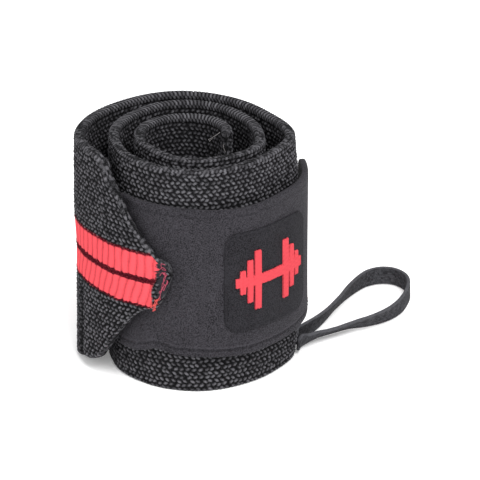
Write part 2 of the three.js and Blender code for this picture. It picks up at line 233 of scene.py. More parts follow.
def section(outer_shares, inner_shares, edge_steps, thickness, foot, head, round_edge):
    """The loop at each station, as depth below the outer face, height, and the two parts of its normal. Its
    second half, down the inner face and under the foot, is the first one turned half round about the
    middle. Arrays have a row for each station and a column for each point of the loop."""
    t, lo, hi = thickness[:, None], foot[:, None], head[:, None]
    r = np.minimum(np.minimum(round_edge, t * EDGE_SHARE), (hi - lo) * CORNER_SHARE)
    depth, height, out, rise = half_section(outer_shares, edge_steps, t, lo, hi, r)
    depth_in, height_in, out_in, rise_in = half_section(1 - inner_shares[::-1], edge_steps, t, lo, hi, r)
    halves = ((depth, t - depth_in), (height, lo + hi - height_in), (out, -out_in), (rise, -rise_in))
    return [np.concatenate(pair, 1) for pair in halves]


def grid_faces(rows, columns):
    """Quads between neighbouring rows of a grid whose columns close on themselves."""
    i, k = np.arange(rows - 1)[:, None] * columns, np.arange(columns)[None, :]
    n = (k + 1) % columns
    return np.stack([i + k, i + n, i + columns + n, i + columns + k], -1).reshape(-1, 4)


def mesh_object(name, points, quads, caps=(), attributes=None, uv=None, smooth=True):
    """A mesh object from arrays: points, quads, any flat end caps, values for each point, and a UV for each
    point. Its place is in its mesh, so the object itself stays at the origin."""
    loops = np.concatenate([quads.ravel()] + [np.asarray(cap) for cap in caps]).astype(np.int32)
    sizes = np.concatenate([np.full(len(quads), 4), [len(cap) for cap in caps]]).astype(np.int32)
    starts = np.concatenate([[0], np.cumsum(sizes)[:-1]]).astype(np.int32)
    mesh = bpy.data.meshes.new(name)
    mesh.vertices.add(len(points))
    mesh.vertices.foreach_set("co", np.asarray(points, np.float32).ravel())
    mesh.loops.add(len(loops))
    mesh.loops.foreach_set("vertex_index", loops)
    mesh.polygons.add(len(sizes))
    mesh.polygons.foreach_set("loop_start", starts)
    mesh.update(calc_edges=True)
    mesh.polygons.foreach_set("use_smooth", np.full(len(sizes), smooth))
    if uv is not None:
        layer = mesh.uv_layers.new(name="cloth")
        layer.data.foreach_set("uv", np.asarray(uv, np.float32)[loops].ravel())
    for key, values in (attributes or {}).items():
        attribute = mesh.attributes.new(key, "FLOAT", "POINT")
        attribute.data.foreach_set("value", np.asarray(values, np.float32).ravel())
    mesh.validate()
    made = bpy.data.objects.new(name, mesh)
    bpy.context.scene.collection.objects.link(made)
    return made


def woven_mesh(name, points, length, around, values):
    """A grid of loops as a mesh, capped at both ends, with a UV in metres along and around the cloth."""
    rows, columns = around.shape
    quads = grid_faces(rows, columns)[:, ::-1]
    caps = [np.arange(columns), np.arange(columns)[::-1] + (rows - 1) * columns]
    uv = np.stack([length, around], -1).reshape(-1, 2)
    made = mesh_object(name, points.reshape(-1, 3), quads, caps, values, uv)
    print(f"{name}: {(length[-1, 0] - length[0, 0]) / MM:.0f} mm long, {len(quads) * 2} triangles")
    return made


def carried(name, face, turns, loop, push, inset=0.0, start_length=0.0, lean=None):
    """Carries a loop along a face: each point lies at the face, less the loop's depth along the face's
    normal, and is pushed along its own normal by push(length, height, depth, out, rise). The whole piece
    may lean out of the face by lean(length, height)."""
    depth, height, out, rise = loop
    base, normal = plan(face, turns), outward(face, turns)
    length = (start_length + travelled(face, turns))[:, None] + 0 * depth
    pushed, values = push(length, height, depth, out, rise)
    inward = depth + np.broadcast_to(np.asarray(inset, float).reshape(-1, 1), depth.shape) - pushed * out
    if lean is not None:
        inward = inward - lean(length, height)
    xy = base[:, None, :] - normal[:, None, :] * inward[..., None]
    points = np.concatenate([xy, (height + pushed * rise)[..., None]], -1) + SHIFT
    return woven_mesh(name, points, length, height + depth, values)


# %% [markdown]
# The band's weave shows as rows of small leaning grains, each row shifted by half a grain and leaning the
# other way. On the real elastic these are the covering yarns that bulge between the rubber threads. A bump
# map would look flat along the rim, so each grain is a real low dome in the mesh. Its brightness is painted
# light: a painted highlight on the grain's top and painted shade, nearly black, in the gaps between grains.

# %% The weave's grains
GRAIN_LENGTH = 1.95 * MM
GRAIN_ROW = 1.4 * MM
GRAIN_RISE = 0.5 * MM
GRAIN_BRIGHT = 1.3
# Painted shade: the crowns on the inner faces, which lie between turns, are darkened by this share.
INNER_SHADE = 0.72
NOISE_CELLS = 64
rng = np.random.default_rng(7)
grain_noise = rng.random((NOISE_CELLS, NOISE_CELLS))


def per_cell(i, j):
    """A fixed random number for each cell of the weave, repeated every 64 cells."""
    return grain_noise[np.asarray(i, int) % NOISE_CELLS, np.asarray(j, int) % NOISE_CELLS]


def grains(length, around):
    """Domes in staggered rows that wander a little: each is the root of 1 - 1.8 x^2 - 1.25 y^2 over its own
    oval cell, where x leans with y, one way in one row and the other way in the next. The second result is
    a random size for each dome."""
    wander = 0.3 * np.sin(length / (17 * MM) + around / (9 * MM))
    wander = wander + 0.2 * np.sin(length / (6.1 * MM) - around / (5 * MM))
    place = around / GRAIN_ROW + 0.3 * wander
    row = np.floor(place)
    along = length / GRAIN_LENGTH + 0.5 * (row % 2) + 0.4 * wander + 0.3 * per_cell(row, 3)
    cell = np.floor(along)
    x = (along - cell - 0.5) * 2 + 0.7 * (per_cell(cell + 11, row) - 0.5)
    y = (place - row - 0.5) * 2 + 0.6 * (per_cell(cell, row + 17) - 0.5)
    leaned = x + 0.5 * y * (1 - 2 * (row % 2))
    dome = np.sqrt(np.clip(1 - 1.8 * leaned ** 2 - 1.25 * y ** 2, 0, 1))
    return dome, 0.5 + 0.85 * per_cell(cell, row)


def hump(phase, power):
    """A row of rounded humps: the root of 1 - |x|^power over each whole number of the phase."""
    return np.sqrt(np.clip(1 - np.abs((phase - np.floor(phase) - 0.5) * 2) ** power, 0, 1))


# %% [markdown]
# Two red stripes are woven into the outer face. Each is a row of wide upright ribs of satin yarn, bordered
# by dark red threads, and both stop short of the sewn point with ragged ends. A painted band of colour
# would look printed, so the ribs are relief too.

# %% The red stripes
STRIPE_WIDTH = 8.2 * MM
STRIPE_GAP = 1.5 * MM
STRIPE_MIDDLE = 39.2 * MM
STRIPE_RIM = 0.9 * MM
LOWER_STRIPE_END = 6.9 * MM
UPPER_STRIPE_END = 4.1 * MM
RIB_PITCH = 3.1 * MM
RIB_RISE = 0.35 * MM
RIB_TIP = 0.45 * MM
RIB_UNEVEN = 0.35 * MM
LOWER_RIB_LEAN = 0.3
UPPER_RIB_LEAN = 0.05
RIB_SATIN = 0.7 * MM
TIP_LENGTH = fine_length[-1]


def stripes(length, height, rib):
    """1 on the two red stripes, and 1 on the dark red threads that border them and fill the gap between
    them. Each rib ends in a round tip of its own length, so the borders are scalloped."""
    offset = np.abs(height - STRIPE_MIDDLE)
    into = np.minimum(offset - STRIPE_GAP / 2, STRIPE_GAP / 2 + STRIPE_WIDTH - offset)
    into = into - RIB_TIP * (1 - rib) - RIB_UNEVEN * per_cell(np.floor(length / RIB_PITCH), 9)
    ragged = 0.8 * MM * per_cell(np.floor(height / (1.3 * MM)), 21)
    upper = ease(height, STRIPE_MIDDLE - 5 * MM, STRIPE_MIDDLE + 6 * MM)
    bare_end = mix(LOWER_STRIPE_END, UPPER_STRIPE_END, upper)
    before_tip = ease(TIP_LENGTH - bare_end - length + ragged, 0, 0.5 * MM)
    border = np.maximum(ease(into, -STRIPE_RIM, -STRIPE_RIM * 0.6), offset < STRIPE_GAP / 2)
    return ease(into, -0.1 * MM, 0.2 * MM) * before_tip, border * before_tip


def add_stripes(length, height, out, relief, crown):
    """The relief and crown with ribs in place of grains on the stripes, and how red each point is."""
    lean = np.where(height < STRIPE_MIDDLE, LOWER_RIB_LEAN, UPPER_RIB_LEAN) * (height - STRIPE_MIDDLE)
    rib = hump((length - lean) / RIB_PITCH + 0.04 * np.sin(height / (1.3 * MM) + length / (2 * MM)), 3.2)
    satin = hump((length - lean) / RIB_SATIN, 2)
    on, border = (part * (out > 0.9) for part in stripes(length, height, rib))
    # On the ribs the crown share is painted light: a painted highlight on each rib's top and painted shade
    # between ribs.
    crown = mix(crown * (1 - 0.95 * border * (1 - on)), 0.32 + 0.58 * rib ** 2 + 0.15 * satin, on)
    return mix(relief, rib * RIB_RISE, on), crown, np.maximum(on, 0.9 * border)


# %% [markdown]
# Along the top and the foot the yarns turn over the edge. On the roll's far side and inside they show as
# upright bars, on its near rims as small specks, and outside as short slanted yarns. Each is one more hump
# function, used where a point lies near the edge, so the loops of the mesh stay as they are.

# %% The yarns at the long edges
BAR_PITCH = 1.42 * MM
BAR_REACH = 1.8 * MM
BAR_POWER = 8
BAR_BRIGHT = 0.85
RIM_BAR_BRIGHT = 0.95
YARN_PITCH = 1.35 * MM
YARN_REACH = 0.6 * MM
FOLDED_REACH = 0.9 * MM
YARN_BRIGHT = 1.3
SPECK_LENGTH = 0.7 * MM
SPECK_ROW = 0.6 * MM
SPECK_BRIGHT = 0.85


def add_edges(length, height, depth, out, rise, relief, crown):
    """The relief and crown with the edges' own yarns; on the far side the sine of the turn is high."""
    top, foot = height.max(1, keepdims=True), height.min(1, keepdims=True)
    edge = np.minimum(top - height, height - foot)
    folded = BAND_WIDTH - top + foot > 0.5 * MM
    inside = (out < -0.3) & (edge < BAR_REACH)
    over = (np.abs(rise) > 0.2) & (out < 0.3)
    outside = (out > 0.3) & (edge < np.where(folded, FOLDED_REACH, YARN_REACH))
    across = np.where(over, depth, edge)
    bar_place = (length + 0.3 * across) / BAR_PITCH + 0.2 * np.sin(length / (5 * MM))
    bar = hump(bar_place, 2)
    bar_size = 0.5 + 0.8 * per_cell(np.floor(bar_place), 5)
    speck_row = np.floor(across / SPECK_ROW)
    speck = per_cell(np.floor(length / SPECK_LENGTH + 0.5 * per_cell(speck_row, 0)),
                     np.floor(across / SPECK_ROW + 0.3 * out) + 50)
    slanted = (length + 0.8 * edge) / YARN_PITCH
    yarn = hump(slanted + 0.2 * np.sin(length / (4 * MM)), 2)
    yarn_size = 0.35 + 0.9 * per_cell(np.floor(slanted), 40) ** 1.5
    far = ease(np.sin(np.radians(np.interp(length, fine_length, fine_turns))), 0.05, 0.55)
    # The crown shares of the bars, specks and slanted yarns are a painted highlight on each yarn.
    rim_relief = GRAIN_RISE * mix(0.55 + 0.35 * speck, 0.9 * bar, far)
    rim_crown = mix(SPECK_BRIGHT * speck ** 2.2, RIM_BAR_BRIGHT * bar ** BAR_POWER * bar_size, far)
    relief = np.where(over, rim_relief, np.where(inside, GRAIN_RISE * 0.95 * bar, relief))
    crown = np.where(over, rim_crown, np.where(inside, BAR_BRIGHT * bar ** BAR_POWER * bar_size, crown))
    return (np.where(outside, GRAIN_RISE * 0.8 * yarn, relief),
            np.where(outside, YARN_BRIGHT * yarn_size * yarn ** 6, crown))


# %% The crease, the lean and the whole relief
FACE_SINK = 0.35 * MM
TOP_SINK = 0.1 * MM
FOOT_SINK = 0.45 * MM
CREASE_TURN = 914.5
CREASE_WIDTH = 1.6 * MM
CREASE_DEPTH = 1.2 * MM
CREASE_TOP = 33 * MM
RIDGE_SHIFT = 5.5 * MM
RIDGE_WIDTH = 2.5 * MM
RIDGE_RISE = 0.3 * MM
SIDE_BULGE = 0.9 * MM
SIDE_DRAW = 0.85 * MM
RIGHT_TURN = 719
LEFT_TURN = 903
CREASE_LENGTH, RIGHT_LENGTH, LEFT_LENGTH = np.interp(
    [CREASE_TURN, RIGHT_TURN, LEFT_TURN], fine_turns, fine_length)


def bell(distance, width):
    """A bell curve: e to the power of minus the square of distance over width."""
    return np.exp(-(distance / width) ** 2)


def side_lean(length, height):
    """How far the outer turn leans out at the right, below its top edge, and in at the left, in its lower
    half: a bell curve along the cloth times an eased share of the height."""
    right = SIDE_BULGE * bell(length - RIGHT_LENGTH, 10 * MM) * ease(BAND_WIDTH - height, 0, 14 * MM)
    left = SIDE_DRAW * bell(length - LEFT_LENGTH, 15 * MM) * ease(height, 54 * MM, 36 * MM)
    return right * ease(height, 0.5 * MM, 8 * MM) - left


def band_push(length, height, depth, out, rise):
    """Relief of the band: grains everywhere, the edges' yarns and the stripes' ribs in their places, and in
    the outer face's lower half a crease with a low ridge beside it. All of it sinks a little, so the tops
    of the grains lie near the solid's face."""
    dome, size = grains(length, height + depth * (out > -0.5) * np.where(rise < 0, -1, 1))
    relief = GRAIN_RISE * dome * (0.6 + 0.4 * size)
    # The crown share is painted light: a painted highlight on each grain's top and painted shade in its gaps.
    crown = GRAIN_BRIGHT * dome ** 2.6 * size * np.where(out < -0.3, INNER_SHADE, 1)
    relief, crown = add_edges(length, height, depth, out, rise, relief, crown)
    relief, crown, red = add_stripes(length, height, out, relief, crown)
    low_side = ease(height, CREASE_TOP, CREASE_TOP - 9 * MM) * (out > 0.9)
    crease = bell(length - CREASE_LENGTH, CREASE_WIDTH) * low_side
    ridge = bell(length - CREASE_LENGTH - RIDGE_SHIFT, RIDGE_WIDTH) * low_side
    relief = np.where(rise < -0.5, np.minimum(relief, FOOT_SINK),
                      relief - CREASE_DEPTH * crease + RIDGE_RISE * ridge)
    sink = mix(FACE_SINK, np.where(rise > 0, TOP_SINK, FOOT_SINK), np.abs(rise))
    # In the crown the crease is darkened, a painted shade, and the ridge beside it is lightened, a painted
    # highlight.
    return relief - sink, {"crown": crown * (1 - 0.95 * crease) * (1 + 0.35 * ridge), "red": red}


# %% [markdown]
# The band is made in four stretches, because one mesh with every grain would be too heavy. The outer face
# is fine all over where it shows. Hidden faces are fine only near the rims that can be seen from above.

# %% Make the band's four stretches
RAW_END_ROUND = 1.7 * MM
FINE_ROW = 0.37 * MM
FINE_COLUMN = 0.38 * MM
COARSE_ROW = 1.6 * MM
BAND_EDGE = 0.8 * MM


def woven_shares(fine_top, fine_foot):
    """Shares of the width for the rows of points: fine near the top and the foot, coarse between them."""
    foot = np.arange(0, fine_foot, FINE_ROW)
    middle = np.arange(fine_foot, BAND_WIDTH - fine_top, COARSE_ROW)
    top = np.arange(BAND_WIDTH - fine_top, BAND_WIDTH, FINE_ROW)
    return np.concatenate([foot, middle, top, [BAND_WIDTH]]) / BAND_WIDTH


ALL_FINE = woven_shares(BAND_WIDTH, 0)
ENDS_FINE = woven_shares(28 * MM, 14 * MM)
TOP_FINE = woven_shares(24 * MM, 0)
DEEP_FINE = woven_shares(44 * MM, 0)


def band_stretch(name, first, last, outer_shares, inner_shares):
    """One stretch of the band between two turn angles, with its stations evenly spaced along the cloth."""
    start, end = np.interp([first, last], fine_turns, fine_length)
    lengths = np.linspace(start, end, int((end - start) / FINE_COLUMN))
    turns = np.interp(lengths, fine_length, fine_turns)
    short = np.clip(1 - lengths / RAW_END_ROUND, 0, 0.97)
    full, round_end = band_thickness(turns), np.sqrt(1 - short ** 2)
    loop = section(outer_shares, inner_shares, 2, full * round_end,
                   along_table(LOWER_FOLD, turns) * BAND_WIDTH,
                   along_table(UPPER_FOLD, turns) * BAND_WIDTH, BAND_EDGE)
    return carried(name, band_face, turns, loop, band_push, inset=full * (1 - round_end) / 2,
                   start_length=start, lean=side_lean)


STRETCHES = (("band_core", 0, 345, TOP_FINE, DEEP_FINE), ("band_middle", 345, 640, ENDS_FINE, TOP_FINE),
             ("band_outer", 640, 815, ALL_FINE, TOP_FINE), ("band_end", 815, TIP_TURN, ALL_FINE, TOP_FINE))
BAND = [band_stretch(*stretch) for stretch in STRETCHES]

# %% [markdown]
# The band's outer end is made into a point: its two corners are folded behind and sewn down. From outside
# only the slanting fold edges show, and from above the second layer behind them. Each folded corner is a
# stretch of its own that lies against the back of the point, a little short of the fold's edge, so the fold
# reads as a round one.

# %% Make the folded corners
UPPER_FLAP_FOOT = 0.61
LOWER_FLAP_HEAD = 0.4
UPPER_FLAP_SHORT = 14
LOWER_FLAP_SHORT = 18
FLAP_EDGE = 0.9 * MM
FLAP_RELIEF = 0.5


def flap_push(length, height, depth, out, rise):
    """The same grains as the band's, at half their rise, because sewing has pressed the corners."""
    relief, values = band_push(length, height, depth, out, rise)
    return relief * FLAP_RELIEF, {"crown": values["crown"], "red": values["red"] * 0}


def folded_corner(name, first, last, foot, head):
    """One folded corner between two turn angles, set behind the point by the point's own thickness."""
    start, end = np.interp([first, last], fine_turns, fine_length)
    turns = np.interp(np.linspace(start, end, int((end - start) / FINE_COLUMN)), fine_length, fine_turns)
    shares = np.linspace(0, 1, 60)
    loop = section(shares, shares, 2, flap_thickness(turns), foot(turns), head(turns), FLAP_EDGE)
    return carried(name, band_face, turns, loop, flap_push, start_length=start,
                   inset=band_thickness(turns) - FLAP_JOIN, lean=side_lean)


def fold_head(turn):
    """Height of the upper fold, less the set-back."""
    return along_table(UPPER_FOLD, turn + FLAP_LAG) * BAND_WIDTH - FLAP_SET_BACK


def fold_foot(turn):
    """Height of the lower fold, plus the set-back."""
    return along_table(LOWER_FOLD, turn + FLAP_LAG) * BAND_WIDTH + FLAP_SET_BACK


FLAPS = [
    folded_corner("upper_flap", FOLD_TURN, TIP_TURN - UPPER_FLAP_SHORT,
                  lambda t: np.full(len(t), UPPER_FLAP_FOOT * BAND_WIDTH), fold_head),
    folded_corner("lower_flap", LOWER_FOLD_TURN + FLAP_LAG, TIP_TURN - LOWER_FLAP_SHORT,
                  fold_foot, lambda t: np.full(len(t), LOWER_FLAP_HEAD * BAND_WIDTH)),
]

# %% [markdown]
# The closure strap is the soft side of a touch fastener: a dense cloth with a short brushed nap and a
# folded hem along both long edges, sewn 2.6 mm in. The hem's sewing pulls a shallow groove, and each stitch
# lies in it as a short raised bead. The free end has round corners. The lower edge waves where the roll
# isn't round, and it slants up a little towards the free end.

# %% Make the strap
HEM = 2.6 * MM
HEM_GROOVE = 0.05 * MM
LOW_HEM_DRAW = 3.0
HIGH_HEM_DRAW = 0.6
HEM_GROOVE_WIDTH = 0.4 * MM
HEM_RIDGE_INSET = 0.7 * MM
HEM_RIDGE_WIDTH = 0.35 * MM
HEM_RIDGE_SHARE = 0.6
HEM_GROOVE_SHADE = 0.15
HEM_RIDGE_LIGHT = 0.14
STRAP_CORNER = 1.2 * MM
STRAP_EDGE = 0.8 * MM
STRAP_COLUMN = 0.6 * MM
WAVE_RISE = 0.13 * MM
WAVES = ((9, 21, 0, 0.5), (15, -12, 1.3, 0.6), (5.5, 40, 0.4, 0.2))


def soft_waves(length, height):
    """Broad low waves of hanging cloth: sines, each with a length along, one up, a start and a size."""
    return WAVE_RISE * sum(size * np.sin(length / (along * MM) + height / (up * MM) + start)
                           for along, up, start, size in WAVES)


def strap_push(length, height, depth, out, rise):
    """A groove along each hem's stitches and a ridge inside it, deeper on the lower hem, over waves."""
    from_edge = np.minimum(height - height.min(1, keepdims=True), STRAP_FOOT + STRAP_WIDTH - height)
    groove = bell(from_edge - HEM, HEM_GROOVE_WIDTH)
    ridge = bell(from_edge - HEM - HEM_RIDGE_INSET, HEM_RIDGE_WIDTH)
    drawn = np.where(height < STRAP_FOOT + STRAP_WIDTH / 2, LOW_HEM_DRAW, HIGH_HEM_DRAW)
    pushed = soft_waves(length, height) * (np.abs(out) > 0.5)
    pushed = pushed - HEM_GROOVE * drawn * (groove - HEM_RIDGE_SHARE * ridge) * np.abs(out)
    return pushed, {"crown": 1 - drawn * (HEM_GROOVE_SHADE * groove - HEM_RIDGE_LIGHT * ridge)}


def corner_draw(distance, radius):
    """How far a round corner draws an edge in near the end: its radius less the circle's height."""
    short = np.clip(radius - distance, 0, radius)
    return radius - np.sqrt(np.clip(radius ** 2 - short ** 2, 0, None))


def evenly(face, first, last, step):
    """Turn angles that lie evenly along a face, and the face's length up to each."""
    turns = np.linspace(first, last, 1500)
    length = travelled(face, turns)
    even = np.linspace(0, length[-1], int(length[-1] / step) + 2)
    return np.interp(even, length, turns), even


strap_turns, strap_lengths = evenly(strap_face, STRAP_START, STRAP_END, STRAP_COLUMN)
strap_draw = corner_draw(strap_lengths[-1] - strap_lengths, STRAP_CORNER)
strap_wave = along_table(STRAP_HANG, strap_turns) * STRAP_WIDTH
strap_sway = 0.3 * MM * np.sin(strap_lengths / (11 * MM) + 0.6) * ease(strap_lengths, 5 * MM, 20 * MM)
strap_shares = np.linspace(0, 1, 96)
closure_strap = carried(
    "closure_strap_cloth", strap_face, strap_turns,
    section(strap_shares, strap_shares, 3, np.full(len(strap_turns), STRAP_THICKNESS),
            STRAP_FOOT + strap_draw + strap_wave, STRAP_FOOT + STRAP_WIDTH - strap_draw + strap_sway,
            STRAP_EDGE),
    strap_push)

# %% The hem's stitches
STITCH_PITCH = 2.2 * MM
STITCH_LENGTH = 1.6 * MM
STITCH_RADIUS = 0.11 * MM


def on_face(face, turn, height, above):
    """Points at turn angles and heights, lifted off a face along its normal."""
    xy = plan(face, turn) + outward(face, turn) * above
    return np.concatenate([xy, height[..., None]], -1) + SHIFT


def beads(starts, ends, radius, sides=6, rings=5):
    """Many short threads in one set of arrays. Each is a circle of the given radius carried from its start
    to its end, times about the root of 1 - s^4 at the share s either side of its middle, so its two ends
    are small and round."""
    s = np.linspace(-1, 1, rings)
    swell = radius * np.sqrt(1 - (0.985 * s) ** 4)
    axis = ends - starts
    ahead = axis / np.linalg.norm(axis, axis=-1, keepdims=True)
    helper = np.where(np.abs(ahead[:, 2:3]) < 0.9, np.array([[0, 0, 1.0]]), np.array([[1.0, 0, 0]]))
    side = np.cross(ahead, helper)
    side /= np.linalg.norm(side, axis=-1, keepdims=True)
    third = np.cross(ahead, side)
    a = np.arange(sides) * 2 * math.pi / sides
    ring = side[:, None, :] * np.cos(a)[None, :, None] + third[:, None, :] * np.sin(a)[None, :, None]
    centre = starts[:, None, :] + axis[:, None, :] * ((s + 1) / 2)[None, :, None]
    points = centre[:, :, None, :] + ring[:, None, :, :] * swell[None, :, None, None]
    per = rings * sides
    shift = (np.arange(len(starts)) * per)[:, None, None]
    faces = (grid_faces(rings, sides)[None, :, ::-1] + shift).reshape(-1, 4)
    first = np.arange(sides)[None] + shift[:, 0]
    last = np.arange(sides)[::-1][None] + (rings - 1) * sides + shift[:, 0]
    return points.reshape(-1, 3), faces, list(first) + list(last)


def stitch_row(height):
    """Start and end points of a row of stitches along the strap, one to each pitch."""
    at = np.arange(STITCH_PITCH, strap_lengths[-1] - STITCH_PITCH, STITCH_PITCH)
    level = np.interp(at, strap_lengths, height)
    turns = [np.interp(at + side * STITCH_LENGTH / 2, strap_lengths, strap_turns) for side in (-1, 1)]
    return [on_face(strap_face, turn, level, 0) for turn in turns]


stitch_starts, stitch_ends = np.concatenate([
    stitch_row(STRAP_FOOT + HEM + strap_wave), stitch_row(STRAP_FOOT + STRAP_WIDTH - HEM + strap_sway)], 1)
hem_stitches = mesh_object("hem_stitches", *beads(stitch_starts, stitch_ends, STITCH_RADIUS))
print(f"hem stitches: {len(stitch_starts)}")

# %% [markdown]
# A darker patch with round corners is fused to the strap, and on it sits a raised red figure of a barbell,
# a plain sign for weight training. The figure's outline is its half height at each place along it. Its
# threads run up and down, which shows as fine ridges.

# %% Make the patch
PATCH_TURN = 675
PATCH_LENGTH = 36 * MM
PATCH_HEIGHT = 34 * MM
PATCH_THICKNESS = 0.6 * MM
PATCH_CORNER = 5 * MM
PATCH_SEAT = 0.15 * MM
PATCH_COLUMN = 0.3 * MM
PATCH_EDGE = 0.3 * MM
PATCH_RIM = 1.1 * MM
PATCH_RIM_WIDTH = 0.3 * MM
PATCH_RIM_SINK = 0.04 * MM
PATCH_RIM_SHADE = 0.12
PATCH_MIDDLE = STRAP_FOOT + STRAP_WIDTH / 2


def patch_face(turn):
    """Outer face of the patch, seated on the strap."""
    return strap_face(turn) + PATCH_SEAT + PATCH_THICKNESS


def patch_turns_of(length):
    """First and last turn angle of a piece of some length that is centred on the patch."""
    half = np.degrees(length / patch_face(np.array(PATCH_TURN))) / 2
    return PATCH_TURN - half, PATCH_TURN + half


def strap_length_at(turn):
    """Length of strap from its start to a turn angle."""
    return travelled(strap_face, np.linspace(STRAP_START, turn, 400))[-1]


patch_turns, patch_lengths = evenly(patch_face, *patch_turns_of(PATCH_LENGTH), PATCH_COLUMN)
patch_draw = corner_draw(np.minimum(patch_lengths, patch_lengths[-1] - patch_lengths), PATCH_CORNER)
patch_start = strap_length_at(patch_turns[0])


def patch_push(length, height, depth, out, rise):
    """The patch follows the strap's waves, with a low rim where it is sealed down."""
    from_end = np.minimum(length, patch_lengths[-1] - length)
    from_side = PATCH_HEIGHT / 2 - np.abs(height - PATCH_MIDDLE)
    rim = bell(np.minimum(from_end, from_side) - PATCH_RIM, PATCH_RIM_WIDTH)
    pushed = soft_waves(length + patch_start, height) - PATCH_RIM_SINK * rim * (out > 0.5)
    return pushed, {"crown": 1 - PATCH_RIM_SHADE * rim}


strap_patch = carried(
    "strap_patch_cloth", patch_face, patch_turns,
    section(np.linspace(0, 1, 70), np.linspace(0, 1, 6), 2,
            np.full(len(patch_turns), PATCH_THICKNESS + PATCH_SEAT),
            PATCH_MIDDLE - PATCH_HEIGHT / 2 + patch_draw, PATCH_MIDDLE + PATCH_HEIGHT / 2 - patch_draw,
            PATCH_EDGE),
    patch_push)

# %% Make the figure on the patch
EMBLEM_LENGTH = 29 * MM
EMBLEM_HEIGHT = 20 * MM
EMBLEM_THICKNESS = 0.5 * MM
EMBLEM_COLUMN = 0.11 * MM
EMBLEM_EDGE = 0.25 * MM
EMBLEM_FRAY = 0.12 * MM
EMBLEM_STEPS = np.array([
    (-.5, .08), (-.45, .2), (-.385, .08), (-.36, .36), (-.29, .08), (-.265, .5), (-.18, .08),
    (.18, .5), (.265, .08), (.29, .36), (.36, .08), (.385, .2), (.45, .08)])
SATIN_PITCH = 0.45 * MM
SATIN_RISE = 0.07 * MM


def emblem_face(turn):
    """Outer face of the figure, seated on the patch."""
    return patch_face(turn) + PATCH_SEAT + EMBLEM_THICKNESS


def emblem_half(along):
    """Half the figure's height at each place along it, in level steps."""
    step = EMBLEM_STEPS[np.clip(np.searchsorted(EMBLEM_STEPS[:, 0], along, side="right") - 1, 0, None)]
    return step[:, 1] * EMBLEM_HEIGHT


emblem_turns, emblem_lengths = evenly(emblem_face, *patch_turns_of(EMBLEM_LENGTH), EMBLEM_COLUMN)
emblem_fray = rng.normal(0, EMBLEM_FRAY, (2, len(emblem_turns)))
emblem_halves = emblem_half(emblem_lengths / emblem_lengths[-1] - 0.5)
emblem_start = strap_length_at(emblem_turns[0])


def emblem_push(length, height, depth, out, rise):
    """Fine ridges of satin thread along the height, over the strap's waves."""
    ridge = 0.5 + 0.5 * np.cos(2 * math.pi * length / SATIN_PITCH)
    pushed = soft_waves(length + emblem_start, height) + SATIN_RISE * ridge * (out > 0.5)
    # The crown share is a painted highlight on each satin ridge and painted shade between them.
    return pushed, {"crown": 0.4 + 0.6 * ridge}


patch_emblem = carried(
    "patch_emblem_thread", emblem_face, emblem_turns,
    section(np.linspace(0, 1, 40), np.linspace(0, 1, 4), 2,
            np.full(len(emblem_turns), EMBLEM_THICKNESS + PATCH_SEAT),
            PATCH_MIDDLE - emblem_halves - emblem_fray[0], PATCH_MIDDLE + emblem_halves + emblem_fray[1],
            EMBLEM_EDGE),
    emblem_push)

# %% [markdown]
# The thumb loop is a narrow elastic tape. It is carried along a smooth curve through listed points,
# and at each point it leans by its own angle: over towards the floor along the two legs, on its edge round
# the bend. It comes out from between the strap and the roll. Both ends are sewn there and a little drawn in.

# %% The thumb loop's path
LOOP_TAPE = 6.2 * MM
LOOP_THICKNESS = 1.2 * MM
LOOP_REACH = 62 * MM
LOOP_SPREAD = 23.4 * MM
LOOP_HEADING = math.radians(52)
FLOOR_CLEARANCE = 0.15 * MM
LOOP_TURN = 719
LOOP_STAND = 3.1 * MM
LOOP_OUT = np.array([(715.5, .53, 4), (719.5, .53, 14)])
LOOP_BACK = np.array([(728, .53, -8), (723.5, .53, -3)])
LOOP_FREE = np.array([
    (.031, .067, 36), (.112, .07, 45), (.176, .055, 53), (.251, .004, 54), (.351, -.071, 50),
    (.44, -.201, 37), (.537, -.272, 24), (.619, -.275, 14), (.716, -.221, 5), (.814, -.11, 2),
    (.892, .008, 0), (.953, .15, 0), (.99, .32, 0), (.998, .494, 0), (.977, .621, 0), (.942, .692, -2),
    (.876, .735, -6), (.706, .665, -16), (.532, .527, -26), (.349, .37, -21), (.22, .294, -14),
    (.123, .271, -12)])


def tucked_points(rows):
    """Middle of the tape against the roll: the roll's face, a clearance, and room for the lean."""
    lean = np.radians(rows[:, 2])
    room = CLEARANCE + LOOP_THICKNESS / 2 + LOOP_TAPE / 2 * np.abs(np.sin(lean))
    xy = plan(lambda t: band_face(t) + room, rows[:, 0])
    return np.concatenate([xy, rows[:, 1:2] * LOOP_TAPE], 1)


def free_points(rows, start):
    """Middle of the tape on the floor, along the heading and across it, where its edge just rests."""
    u, v = rows[:, 0] * LOOP_REACH, rows[:, 1] * LOOP_SPREAD
    lean = np.radians(np.abs(rows[:, 2]))
    rest = FLOOR_CLEARANCE + LOOP_TAPE / 2 * np.cos(lean) + LOOP_THICKNESS / 2 * np.sin(lean)
    x = start[0] + u * math.cos(LOOP_HEADING) - v * math.sin(LOOP_HEADING)
    y = start[1] + u * math.sin(LOOP_HEADING) + v * math.cos(LOOP_HEADING)
    return np.stack([x, y, rest], 1)


